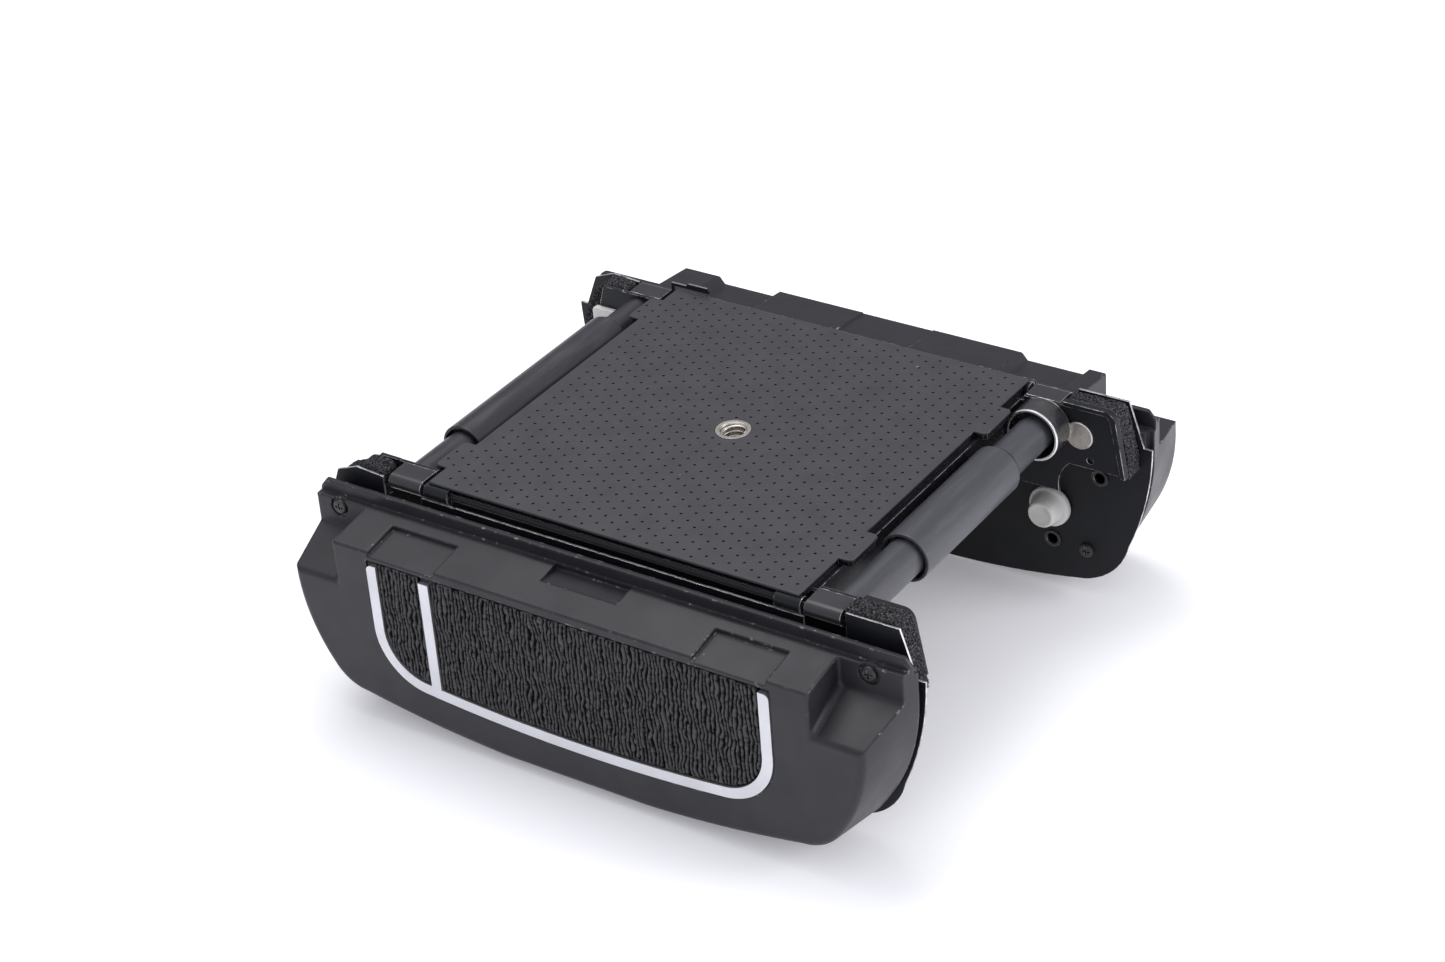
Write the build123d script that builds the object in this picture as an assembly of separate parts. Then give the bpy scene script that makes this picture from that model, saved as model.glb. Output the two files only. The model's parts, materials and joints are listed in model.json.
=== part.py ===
from build123d import *
from collections import namedtuple
import math
import os

# Body of a folding camera, standing with its base up. Millimetres.
# The origin is the centre of the tripod socket's mouth, on the bed's outer face.
# +X runs along the two end housings, +Y from the front housing to the rear one, +Z out of the socket.
# Pieces that the two ends share are drawn at the rear, and mirrored across the XZ plane for the front.

# Bed: a metal plate under a sheet of dimpled covering
BED_HALF_X = 53.2
BED_HALF_Y = 54.2
COVERING_T = 0.7
PLATE_T = 1.5
PLATE_INSET = 0.4
EAR_REACH = 3.5
RIGHT_BED_EARS = [(-37.0, -24.5), (26.0, 39.0)]
LEFT_BED_EARS = [(-47.0, -35.0), (36.0, 47.3)]

# Rails under the bed
SIDE_RAIL_X = (48.6, 54.2)
SIDE_RAIL_LOW = -10.0
SIDE_RAIL_WALL = 1.4
CROSS_RAIL_Y = (-41.0, -18.0, 18.0, 41.0)
CROSS_RAIL_W = 6.0
CROSS_RAIL_T = 2.4

# Hinges between the bed and the end housings
PIN_Y = 53.6
PIN_Z = -3.0
PIN_R = 0.9
KNUCKLE_R = 2.1
RUNNING_GAP = 0.05
LUG_X = (47.0, 54.0)
STRAP_X = (55.2, 64.8)
STRAP_T = 1.0
STRAP_TOP = PIN_Z + KNUCKLE_R
TAB_X = (-50.4, -43.2)
TAB_Y = (54.4, 55.0)
TAB_LOW = 0.5
TAB_TOP = 2.0

# Chassis walls, which carry the two roller shafts
WALL_Y = 47.6
WALL_T = 1.0
WALL_LIP = 1.2
WALL_END_X = 66.6
WALL_HOLE = (73.5, -14.9)
WALL_HOLE_R = 0.9
RIVET_R = 1.5
WALL_LOW = -13.0
RIGHT_WALL_LOW = -17.2
LEFT_WALL_X = (72.8, 76.3)
LEFT_WALL_TOP = -0.8
REAR_WALL_CORNER = (80.6, 0.9)
FRONT_WALL_CORNER = (79.0, -0.4)
WALL_CORNER_R = 2.2

# Rollers
ROLLER_X = 61.6
ROLLER_Z = -6.5
SHAFT_R = 4.87
NECK_R = 4.70
SLEEVE_R = 6.5
SLEEVE_WALL = 0.75
BUSH_T = 8.0
RIGHT_SLEEVE_Y = (-22.0, 22.0)
LEFT_SLEEVE_Y = (-30.0, 33.0)
SPIGOT_R = 3.0
SNAP_RING_T = 1.2
CUP_R = 7.15
CUP_Y = 39.6
CUP_WALL = 0.7
CUP_BASE_R = 5.0
DISC_R = 3.8
DISC_T = 0.85
DISC = (70.8, -8.0)
SHOE_X = (66.9, 76.2)
SHOE_Z = (-13.5, -7.0)
SHOE_T = 1.4

# Tripod socket, 1/4 inch thread
SOCKET_R = 3.175
SOCKET_DEPTH = 8.0
SOCKET_RING_R = 4.5
SOCKET_BARREL_R = 4.2

# End housings: a flat cover plate, then a tapering hollow casing
COVER_Y = 55.1
COVER_T = 0.6
COVER_TOP = -4.6
CASING_Y = 57.6
CASING_WALL = 2.0
RIGHT_END_X = 86.1
LEFT_END_X = 83.2
SKIRT_INSET = 1.6
GROOVE_Z = -8.5
RAIL_Y = (58.9, 60.3)
RAIL_Z = -4.0
TOP_STEP_Y = 62.0
TOP_STEP_Z = -7.2
POCKET_X = 68.0
POCKET_Y = 62.3
POCKET_Z = -15.0
RECESS_X = (37.0, 57.0)
CHANNEL_HALF_X = 10.9
CHANNEL_Y = 60.5

# The two casings differ in depth and in the way their tops are cut
CasingForm = namedtuple("CasingForm", (
    "face_y", "slope", "right_pocket_x", "pocket_end_z", "recess_y", "recess_depth", "recess_lean",
    "channel_end", "channel_depth"))
FRONT_CASING = CasingForm(75.5, 0.16, 68.0, -21.3, 65.0, 1.3, 0.0, 67.3, 1.5)
REAR_CASING = CasingForm(79.2, 0.11, 61.8, -17.6, 60.5, 2.2, 1.8, 84.0, 0.5)

# Front panel: leather inside a U of bright trim
TRIM_OUTER_X = 57.7
TRIM_W = 2.9
TRIM_TOP = -13.0
TRIM_SIDE_END = -31.0
TRIM_CORNER_R = 15.5
TRIM_BOTTOM_R = 430.0
PANEL_RECESS = 1.0
LEATHER_PROUD = 0.15
TRIM_PROUD = 0.3
LEATHER_TOP = -11.8
DIVIDER_X = (-41.8, -38.9)
PANEL_GAP = 0.15

# Screws: pan heads with a cross recess
HEAD_R = 2.0
HEAD_T = 1.0
SHANK_R = 1.0
CASING_SCREW = (76.0, -9.5)
SINK_R = 2.7
SINK_DEPTH = 0.7
COVER_SCREWS = [(68.4, -47.0), (30.0, -15.0)]
EYELETS = [(72.3, -24.3), (58.6, -46.3)]
EYELET_R = 1.6

# White hub on the rear cover plate
HUB = (58.5, -35.9)
HUB_R = 5.7
HUB_FLANGE_Y = 53.4
HUB_NOSE_Y = 48.6
HUB_NOSE_R = 4.0
SPINDLE_R = 2.0
HUB_BUSH_R = 3.6


def outline(start, *steps):
    """A closed face. Each step is an end point, or a (middle, end) pair for an arc."""
    edges = []
    here = start
    for step in steps + (start,):
        if isinstance(step[0], tuple):
            edges.append(ThreePointArc(here, *step))
            here = step[1]
        else:
            edges.append(Line(here, step))
            here = step
    return make_face(edges)


def across(face, y_from, y_to):
    """Extrude a face drawn in (x, z) along Y."""
    placed = Plane((0, y_from, 0), x_dir=(1, 0, 0), z_dir=(0, -1, 0)) * face
    return extrude(placed, amount=y_to - y_from, dir=(0, 1, 0))


def along(face, x_from, x_to):
    """Extrude a face drawn in (y, z) along X."""
    placed = Plane((x_from, 0, 0), x_dir=(0, 1, 0), z_dir=(1, 0, 0)) * face
    return extrude(placed, amount=x_to - x_from, dir=(1, 0, 0))


def block(x, y, z):
    """A box given by its low and high limits on each axis."""
    size = [high - low for low, high in (x, y, z)]
    middle = [(high + low) / 2 for low, high in (x, y, z)]
    return Pos(*middle) * Box(*size)


def rod_y(x, z, radius, y_from, y_to):
    """A cylinder along Y."""
    return Pos(x, (y_from + y_to) / 2, z) * Rot(90, 0, 0) * Cylinder(radius, y_to - y_from)


def rod_x(y, z, radius, x_from, x_to):
    """A cylinder along X."""
    return Pos((x_from + x_to) / 2, y, z) * Rot(0, 90, 0) * Cylinder(radius, x_to - x_from)


def both_sides(solid):
    """A solid with its mirror image across the YZ plane."""
    return solid + mirror(solid, about=Plane.YZ)


def to_front(solid):
    """The front half's copy of a rear piece."""
    return mirror(solid, about=Plane.XZ)


def soften(body, radius, y, z, x=(0, 90)):
    """Round every edge that lies wholly inside the given limits. X counts from the middle, either way."""
    slack = 0.06
    chosen = []
    for edge in body.edges():
        box = edge.bounding_box()
        crosses_middle = box.min.X < 0 < box.max.X
        low_x = 0 if crosses_middle else min(abs(box.min.X), abs(box.max.X))
        high_x = max(abs(box.min.X), abs(box.max.X))
        spans = ((low_x, high_x, x), (box.min.Y, box.max.Y, y), (box.min.Z, box.max.Z, z))
        if all(low > limits[0] - slack and high < limits[1] + slack for low, high, limits in spans):
            chosen.append(edge)
    return fillet(chosen, radius)


# ---------------------------------------------------------------- bed

def bed_sheet(inset, z_low, z_high, end_y):
    """The bed's outline with its side ears, as a flat sheet."""
    half_x = BED_HALF_X - inset
    sheet = block((-half_x, half_x), (-end_y, end_y), (z_low, z_high))
    for side, ears in ((1, RIGHT_BED_EARS), (-1, LEFT_BED_EARS)):
        for low, high in ears:
            tip = side * (half_x + EAR_REACH)
            x_limits = sorted((side * (half_x - 1), tip))
            ear = block(x_limits, (low + inset, high - inset), (z_low, z_high))
            tip_edges = ear.edges().filter_by(Axis.Z).group_by(Axis.X)[-1 if side > 0 else 0]
            sheet += chamfer(tip_edges, 0.8)
    return sheet


def bed_covering():
    sheet = bed_sheet(0.0, -COVERING_T, 0.0, BED_HALF_Y)
    return sheet - Pos(0, 0, -COVERING_T / 2) * Cylinder(SOCKET_RING_R + RUNNING_GAP, 2 * COVERING_T)


def bed_plate():
    """Cut back at both ends for the hinge pins, and notched for the housings' lugs."""
    low = -COVERING_T - PLATE_T
    pin_clear = PIN_Y - PIN_R - 0.5
    plate = bed_sheet(PLATE_INSET, low, -COVERING_T, pin_clear)
    lug_clear = PIN_Y - KNUCKLE_R - 0.4
    for side in (1, -1):
        x_limits = sorted((side * (LUG_X[0] - 0.5), side * (BED_HALF_X + 1)))
        for y_limits in ((lug_clear, BED_HALF_Y), (-BED_HALF_Y, -lug_clear)):
            plate -= block(x_limits, y_limits, (low, 0))
    for x, y in bed_screw_places():
        plate -= Pos(x, y, low) * Cylinder(SHANK_R + RUNNING_GAP, 3 * PLATE_T)
    return plate - Pos(0, 0, low) * Cylinder(SOCKET_BARREL_R + RUNNING_GAP, 4 * PLATE_T)


def bed_screw_places():
    return [(side * 50.8, y) for side in (1, -1) for y in (-42.0, 0.0, 42.0)]


def under_frame():
    """Two side rails and three cross rails under the bed plate, between the walls."""
    top = -COVERING_T - PLATE_T
    inner, outer = SIDE_RAIL_X
    frame = both_sides(block((inner, outer), (-WALL_Y, WALL_Y), (SIDE_RAIL_LOW, top)))
    channel = (inner + SIDE_RAIL_WALL, outer - SIDE_RAIL_WALL)
    frame -= both_sides(block(channel, (-WALL_Y, WALL_Y), (SIDE_RAIL_LOW, top - 2.0)))
    for y in CROSS_RAIL_Y:
        across_y = (y - CROSS_RAIL_W / 2, y + CROSS_RAIL_W / 2)
        frame += block((-inner, inner), across_y, (top - CROSS_RAIL_T, top))
    for x, y in bed_screw_places():
        frame -= Pos(x, y, top) * Cylinder(SHANK_R + RUNNING_GAP, 12.0)
    return frame


def bed_screws():
    """Flat-headed screws under the covering."""
    top = -COVERING_T - 0.05
    screws = []
    for x, y in bed_screw_places():
        screws.append(Pos(x, y, top - 1.9) * Cylinder(SHANK_R, 3.8))
    return Compound(children=screws)


def tripod_socket():
    barrel_low = -SOCKET_DEPTH - 1.2
    body = Pos(0, 0, -COVERING_T / 2) * Cylinder(SOCKET_RING_R, COVERING_T)
    body += Pos(0, 0, barrel_low / 2) * Cylinder(SOCKET_BARREL_R, -barrel_low)
    body -= Pos(0, 0, -SOCKET_DEPTH / 2) * Cylinder(SOCKET_R, SOCKET_DEPTH)
    mouth = body.edges().filter_by(GeomType.CIRCLE).group_by(Axis.Z)[-1].sort_by(SortBy.RADIUS)
    body = chamfer(mouth[0], 0.35)
    return body


def socket_nut():
    top = -COVERING_T - PLATE_T
    nut = extrude(Pos(0, 0, top - 3.4) * RegularPolygon(7.4, 6), amount=3.4)
    return nut - Pos(0, 0, top) * Cylinder(SOCKET_BARREL_R + 0.01, 20)


# ---------------------------------------------------------------- chassis walls and hinges

def wall(right_corner):
    """Sheet wall across the bed's end, notched at its lower right to clear the hub. Its right end has a lip."""
    under_bed = -COVERING_T - PLATE_T
    corner_x, top = right_corner
    low_x = corner_x + 3.0
    bend = WALL_CORNER_R * (1 - math.sqrt(0.5))
    round_corner = ((corner_x - bend, top - bend), (corner_x + 0.4, top - WALL_CORNER_R))
    right = outline(
        (0, under_bed), (STRAP_X[0], under_bed), (STRAP_X[0], STRAP_TOP), (WALL_END_X, STRAP_TOP),
        (WALL_END_X, top), (corner_x - WALL_CORNER_R, top), round_corner, (low_x, RIGHT_WALL_LOW),
        (67.7, RIGHT_WALL_LOW),
        ((65.0, -21.2), (64.7, -26.1)), (51.0, -26.1), (45.0, WALL_LOW), (0, WALL_LOW))
    top_x, end_x = LEFT_WALL_X
    left = outline(
        (0, under_bed), (-STRAP_X[0], under_bed), (-STRAP_X[0], STRAP_TOP), (-WALL_END_X, STRAP_TOP),
        (-WALL_END_X, LEFT_WALL_TOP), (-top_x, LEFT_WALL_TOP), (-end_x, WALL_LOW), (0, WALL_LOW))
    lip = outline(
        (WALL_END_X, top), (corner_x - WALL_CORNER_R, top), round_corner, (low_x, RIGHT_WALL_LOW),
        (low_x - WALL_LIP, RIGHT_WALL_LOW), (corner_x - WALL_LIP, top - WALL_CORNER_R),
        (corner_x - WALL_CORNER_R, top - WALL_LIP), (WALL_END_X, top - WALL_LIP))
    plate = across(right, WALL_Y, WALL_Y + WALL_T) + across(left, WALL_Y, WALL_Y + WALL_T)
    plate += across(lip, WALL_Y - WALL_T, WALL_Y)
    plate -= both_sides(rod_y(ROLLER_X, ROLLER_Z, SPIGOT_R + 0.02, WALL_Y - 2, WALL_Y + 2))
    plate -= rod_y(*WALL_HOLE, WALL_HOLE_R, WALL_Y - 2, WALL_Y + 2)
    plate -= rod_y(*DISC, RIVET_R + 0.02, WALL_Y - 2, WALL_Y + 2)
    return plate - rod_y(*shoe_pin_place(), RIVET_R + 0.02, WALL_Y - 2, WALL_Y + 2)


def wall_disc():
    """Flat-headed bearing stud riveted through the wall's right end."""
    disc = rod_y(*DISC, DISC_R, WALL_Y - DISC_T, WALL_Y)
    disc += rod_y(*DISC, RIVET_R, WALL_Y, WALL_Y + WALL_T + 0.3)
    rim = disc.edges().filter_by(GeomType.CIRCLE).group_by(Axis.Y)[0]
    return chamfer(rim, 0.25)


def shoe_pin_place():
    return -sum(SHOE_X) / 2, sum(SHOE_Z) / 2


def wall_shoe():
    """Nylon shoe riveted to the wall's left end, beside the roller."""
    shoe = block((-SHOE_X[1], -SHOE_X[0]), (WALL_Y - SHOE_T, WALL_Y), SHOE_Z)
    shoe = fillet(shoe.edges().filter_by(Axis.Y), 1.2)
    shoe = fillet(shoe.faces().sort_by(Axis.Y)[0].edges(), 0.3)
    return shoe + rod_y(*shoe_pin_place(), RIVET_R, WALL_Y, WALL_Y + WALL_T + 0.3)


def hinge_straps():
    """Flat straps from the wall, with a knuckle at the end of each that holds the hinge pin."""
    strap = block(STRAP_X, (WALL_Y + WALL_T, PIN_Y), (STRAP_TOP - STRAP_T, STRAP_TOP))
    strap += rod_x(PIN_Y, PIN_Z, KNUCKLE_R, *STRAP_X)
    strap -= rod_x(PIN_Y, PIN_Z, PIN_R, *STRAP_X)
    return both_sides(strap)


def hinge_pin():
    end = STRAP_X[1] - 0.6
    pin = rod_x(PIN_Y, PIN_Z, PIN_R, -end, end)
    return chamfer(pin.edges().filter_by(GeomType.CIRCLE), 0.2)


def bed_tab():
    """Small upright steel tab behind the bed's rear left corner, on a stepped arm from the strap there."""
    tab = block(TAB_X, TAB_Y, (TAB_LOW, TAB_TOP))
    top_corners = tab.edges().filter_by(Axis.Y).group_by(Axis.Z)[-1]
    tab = fillet(top_corners, 0.9)
    leg_x = (-STRAP_X[0], -STRAP_X[0] + 0.8)
    tab += block(leg_x, TAB_Y, (PIN_Z + 1.0, TAB_LOW + 0.8))
    return tab + block((leg_x[1], TAB_X[0] + 1.0), TAB_Y, (TAB_LOW, TAB_LOW + 0.8))


# ---------------------------------------------------------------- rollers

def shaft(side, sleeve_y):
    """Fixed shaft between the walls. Its step keeps the sleeve from moving forwards."""
    x = side * ROLLER_X
    step = sleeve_y[1] - BUSH_T - 0.2
    body = rod_y(x, ROLLER_Z, SHAFT_R, -WALL_Y, step)
    body += rod_y(x, ROLLER_Z, NECK_R, step, WALL_Y)
    return body + rod_y(x, ROLLER_Z, SPIGOT_R, -WALL_Y - WALL_T - 0.5, WALL_Y + WALL_T + 0.5)


def sleeve(side, sleeve_y):
    """Thin tube, open at its front rim."""
    x = side * ROLLER_X
    tube = rod_y(x, ROLLER_Z, SLEEVE_R, *sleeve_y)
    ends = tube.edges().filter_by(GeomType.CIRCLE)
    tube = fillet(ends, 0.3)
    return tube - rod_y(x, ROLLER_Z, SLEEVE_R - SLEEVE_WALL, sleeve_y[0], sleeve_y[1])


def bushes(side, sleeve_y):
    """Two plain bearings pressed into the sleeve."""
    x = side * ROLLER_X
    outer = SLEEVE_R - SLEEVE_WALL
    low = sleeve_y[0] + 3.0
    front = rod_y(x, ROLLER_Z, outer, low, low + BUSH_T)
    front -= rod_y(x, ROLLER_Z, SHAFT_R + RUNNING_GAP, low, low + BUSH_T)
    low = sleeve_y[1] - BUSH_T
    rear = rod_y(x, ROLLER_Z, outer, low, sleeve_y[1] - 0.3)
    rear -= rod_y(x, ROLLER_Z, NECK_R + RUNNING_GAP, low, sleeve_y[1])
    return Compound(children=[front, rear])


def snap_ring(side, sleeve_y):
    """Split ring on the shaft's neck, which stops the sleeve from moving back."""
    x = side * ROLLER_X
    low = sleeve_y[1] + 0.2
    ring = rod_y(x, ROLLER_Z, NECK_R + 0.9, low, low + SNAP_RING_T)
    ring -= rod_y(x, ROLLER_Z, NECK_R, low, low + SNAP_RING_T)
    return ring - block((x - 0.8, x + 0.8), (low, low + SNAP_RING_T), (ROLLER_Z - 8, ROLLER_Z))


def shaft_cup():
    """Thin turned cup round the right shaft's rear end, standing off the wall on a narrower base."""
    base_y = WALL_Y - 1.0
    cup = rod_y(ROLLER_X, ROLLER_Z, CUP_R, CUP_Y, base_y)
    rims = cup.edges().filter_by(GeomType.CIRCLE)
    cup = chamfer(rims, 0.25)
    cup -= rod_y(ROLLER_X, ROLLER_Z, CUP_R - CUP_WALL, CUP_Y, base_y - 1.0)
    cup += rod_y(ROLLER_X, ROLLER_Z, CUP_BASE_R, base_y, WALL_Y)
    return cup - rod_y(ROLLER_X, ROLLER_Z, NECK_R, CUP_Y, WALL_Y)


# ---------------------------------------------------------------- end housings

def rim_face(end_x):
    """Half of the casing's outline where it meets the cover plate."""
    return outline(
        (0, RAIL_Z), (end_x - 1.7, RAIL_Z), (end_x, RAIL_Z - 2.0), (end_x, -15.0),
        ((end_x / 2 + 40.2, -33.4), (75.2, -49.2)), ((71.8, -52.9), (66.5, -55.1)), ((43.5, -58.4), (20.0, -59.8)),
        (0, -59.8))


def front_face():
    """Half of the casing's outline at its outer face."""
    return outline(
        (0, RAIL_Z), (80.0, RAIL_Z), (81.6, RAIL_Z - 2.0), (81.6, -19.5), ((79.8, -34.4), (73.4, -47.6)),
        ((69.6, -51.4), (63.5, -53.3)), ((42.0, -56.6), (20.0, -58.4)), (0, -58.4))


def two_ends(make_half):
    """A half made for the right end, joined to the mirror image of one made for the shorter left end."""
    return make_half(RIGHT_END_X) + mirror(make_half(LEFT_END_X), about=Plane.YZ)


def tapered(inset, y_to, form):
    """A ruled solid between the casing's two outlines, both drawn in by inset."""
    def half(end_x):
        faces = []
        for face, y in ((rim_face(end_x), CASING_Y), (front_face(), y_to)):
            drawn = offset(face, -inset) if inset else face
            faces.append(Plane((0, y, 0), x_dir=(1, 0, 0), z_dir=(0, -1, 0)) * drawn)
        return loft(faces, ruled=True)
    return two_ends(half)


def top_space(grow, x_limits, form):
    """Everything above the casing's sloping top, as seen from the end."""
    low = TOP_STEP_Z - grow
    end_y = form.face_y + 5
    end_z = low - form.slope * (end_y - TOP_STEP_Y)
    start_y = RAIL_Y[1] - (RAIL_Y[1] - CASING_Y + 4 if grow else 0)
    profile = outline((start_y, 2), (start_y, low), (TOP_STEP_Y, low), (end_y, end_z), (end_y, 2))
    return along(profile, *x_limits)


def pocket_space(grow, form):
    """The sloping pockets at the casing's two upper corners."""
    wall_y = POCKET_Y - grow
    end_y = form.face_y + 5
    slope = (POCKET_Z - form.pocket_end_z) / (form.face_y - POCKET_Y)
    floor_z = POCKET_Z - 1.2 * grow
    end_z = floor_z - slope * (end_y - POCKET_Y)
    profile = outline((wall_y, 2), (wall_y, floor_z), (end_y, end_z), (end_y, 2))
    return along(profile, form.right_pocket_x - grow, 90) + along(profile, -90, grow - POCKET_X)


def groove(x_limits, y_limits, depth, lean, slope):
    """A groove of a given depth in the casing's top, running outwards and down with it. Its sides can lean."""
    low_x, high_x = x_limits
    top_z = TOP_STEP_Z - slope * (y_limits[0] - TOP_STEP_Y)
    floor_z = top_z - depth
    mouth = outline(
        (low_x + lean, floor_z), (low_x, top_z), (low_x, 3),
        (high_x, 3), (high_x, top_z), (high_x - lean, floor_z))
    placed = Plane((0, y_limits[0], 0), x_dir=(1, 0, 0), z_dir=(0, -1, 0)) * mouth
    run = y_limits[1] - y_limits[0]
    return extrude(placed, amount=math.hypot(run, slope * run), dir=(0, 1, -slope))


def recess_space(form):
    """Shallow recesses in the top, open to the outer face, and a channel in its middle."""
    recess_y = (form.recess_y, form.face_y + 5)
    recesses = both_sides(groove(RECESS_X, recess_y, form.recess_depth, form.recess_lean, form.slope))
    channel_slope = form.slope if form.channel_end > form.face_y else 0
    channel_y = (CHANNEL_Y, form.channel_end)
    channel_x = (-CHANNEL_HALF_X, CHANNEL_HALF_X)
    return recesses + groove(channel_x, channel_y, form.channel_depth, 0, channel_slope)


def casing_cavity(form):
    inner_y = form.face_y - CASING_WALL - 0.2
    inner = tapered(CASING_WALL, inner_y, form)
    inner += block((-4, 4), (CASING_Y, inner_y), (-56.2, RAIL_Z - CASING_WALL))
    inner -= top_space(CASING_WALL + form.recess_depth + 0.7, (-90, 90), form)
    return inner - pocket_space(CASING_WALL, form)


def casing_skirt():
    """Narrow collar between the casing and the cover plate."""
    def half(end_x):
        outline_face = rim_face(end_x)
        outer = across(offset(outline_face, -SKIRT_INSET), COVER_Y + COVER_T, CASING_Y)
        return outer - across(offset(outline_face, -SKIRT_INSET - CASING_WALL), COVER_Y + COVER_T, CASING_Y)
    ring = two_ends(half)
    ring += block((-5, 5), (COVER_Y + COVER_T, CASING_Y), (-58.2, -56.2))
    bridge = block((-76, 76), (COVER_Y + COVER_T, CASING_Y), (GROOVE_Z - CASING_WALL, GROOVE_Z))
    return ring + bridge


def casing_posts(form):
    """Full-depth posts that the cover plate's screws run into."""
    posts = [rod_y(x, z, 3.0, COVER_Y + COVER_T, form.face_y - CASING_WALL) for x, z in COVER_SCREWS]
    x, z = CASING_SCREW
    posts.append(rod_y(x, z, 2.6, COVER_Y + COVER_T, POCKET_Y - 1.0))
    post_set = posts[0] + posts[1] + posts[2]
    return both_sides(post_set)


def screw_holes(radius):
    """Holes for the screws that join the casing and the cover plate."""
    holes = [rod_y(x, z, radius, COVER_Y - 2, COVER_Y + 8.0) for x, z in COVER_SCREWS]
    x, z = CASING_SCREW
    holes.append(rod_y(x, z, radius, COVER_Y - 2, POCKET_Y + 1))
    return both_sides(holes[0] + holes[1] + holes[2])


def casing(form):
    body = tapered(0, form.face_y, form)
    body -= top_space(0, (-90, 90), form)
    body -= pocket_space(0, form)
    at_face = (form.face_y, form.face_y)
    block_side = (form.right_pocket_x, POCKET_X)
    pocket_y = (POCKET_Y, form.face_y)
    floor_z = (form.pocket_end_z, POCKET_Z)
    face_top_z = TOP_STEP_Z - form.slope * (form.face_y - TOP_STEP_Y)
    body = soften(body, 1.8, at_face, (-60, form.pocket_end_z))
    body = soften(body, 0.7, at_face, (form.pocket_end_z, TOP_STEP_Z - 1))
    body = soften(body, 0.6, pocket_y, (face_top_z, TOP_STEP_Z), block_side)
    body = soften(body, 1.6, pocket_y, floor_z, block_side)
    body = soften(body, 0.8, (POCKET_Y, POCKET_Y), (POCKET_Z, POCKET_Z))
    body = soften(body, 0.8, (CASING_Y, RAIL_Y[1]), (RAIL_Z - 2, RAIL_Z), (LEFT_END_X - 3, RIGHT_END_X))
    body = soften(body, 0.3, (TOP_STEP_Y, TOP_STEP_Y), (TOP_STEP_Z, TOP_STEP_Z))
    body -= recess_space(form)
    if form.recess_lean == 0:
        rim_z = (face_top_z - 0.1, TOP_STEP_Z - 0.4)
        body = soften(body, 0.25, (form.recess_y, form.face_y), rim_z, RECESS_X)
    body -= casing_cavity(form)
    body += casing_skirt()
    body += casing_posts(form)
    body -= block((-90, 90), (COVER_Y, RAIL_Y[0]), (GROOVE_Z, 0))
    body -= screw_holes(SHANK_R + RUNNING_GAP)
    body -= both_sides(rod_y(*CASING_SCREW, SINK_R, POCKET_Y - SINK_DEPTH, POCKET_Y + 1))
    return body - panel(0.0, PANEL_GAP, form.face_y - PANEL_RECESS, form.face_y + 1, LEATHER_TOP + PANEL_GAP)


def cover_plate():
    """Flat sheet, raised at its upper corners, with gaps for the hinge straps. Its left corner is cut off."""
    flank = (
        (84.5, -12.5), (86.8, -12.5), ((85.0, -28.0), (80.2, -42.8)), ((75.5, -51.5), (68.0, -56.0)),
        ((44.0, -59.6), (20.0, -60.7)), (0, -60.7))
    inner = ((55.0, COVER_TOP), (55.0, -7.6), (66.5, -7.6))
    right = outline((0, COVER_TOP), *inner, (66.5, 0.0), (80.5, 0.0), *flank)
    left = outline((0, COVER_TOP), *inner, (66.5, -1.6), (74.5, -1.0), (80.9, -3.4), *flank)
    plate = across(right, COVER_Y, COVER_Y + COVER_T)
    plate += mirror(across(left, COVER_Y, COVER_Y + COVER_T), about=Plane.YZ)
    for x, z in EYELETS:
        plate -= both_sides(rod_y(x, z, EYELET_R + 0.3, COVER_Y - 1, COVER_Y + 2))
    return plate - screw_holes(SHANK_R + RUNNING_GAP)


def cover_eyelets():
    """Rolled rims in the cover plate's two larger holes."""
    rings = []
    for x, z in EYELETS:
        ring = rod_y(x, z, EYELET_R + 0.7, COVER_Y - 0.4, COVER_Y)
        ring += rod_y(x, z, EYELET_R + 0.3, COVER_Y, COVER_Y + COVER_T)
        rings.append(ring - rod_y(x, z, EYELET_R, COVER_Y - 1, COVER_Y + 2))
    return both_sides(rings[0] + rings[1])


def hinge_lugs():
    """Knuckles that turn on the hinge pin, with leaves fixed to the cover plate."""
    lug = rod_x(PIN_Y, PIN_Z, KNUCKLE_R, *LUG_X)
    lug += block(LUG_X, (COVER_Y - 1.0, COVER_Y), (-13.0, PIN_Z))
    lug -= rod_x(PIN_Y, PIN_Z, PIN_R + RUNNING_GAP, *LUG_X)
    return both_sides(lug)


def foam_seals():
    """Bent strips of foam inside the cover plate's upper corners."""
    flank = ((84.0, -12.7), (85.6, -19.6), (79.4, -19.6), (78.4, -13.4))
    right = outline((66.9, -0.4), (80.0, -0.4), *flank, (75.8, -6.6), (66.9, -6.6))
    left = outline((66.9, -2.0), (74.4, -1.4), (80.4, -3.8), *flank, (75.8, -8.0), (66.9, -8.0))
    return across(right, 50.0, COVER_Y) + mirror(across(left, 50.0, COVER_Y), about=Plane.YZ)


def pan_screw(x, z, face_y, facing, length):
    """Cross-headed screw along Y. Its head stands on face_y and looks towards facing, +1 or -1."""
    tip = face_y - facing * length
    head = rod_y(x, z, HEAD_R, *sorted((face_y, face_y + facing * HEAD_T)))
    rim = head.edges().filter_by(GeomType.CIRCLE).sort_by(Axis.Y)[-1 if facing > 0 else 0]
    head = fillet(rim, 0.5)
    for half_x, half_z in ((1.2, 0.22), (0.22, 1.2)):
        slot_y = sorted((face_y + facing * 0.4, face_y + facing * 1.5))
        head -= block((x - half_x, x + half_x), slot_y, (z - half_z, z + half_z))
    return head + rod_y(x, z, SHANK_R, *sorted((face_y, tip)))


def casing_screws():
    x, z = CASING_SCREW
    seat_y = POCKET_Y - SINK_DEPTH
    return both_sides(pan_screw(x, z, seat_y, 1, seat_y - COVER_Y - 0.2))


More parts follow.
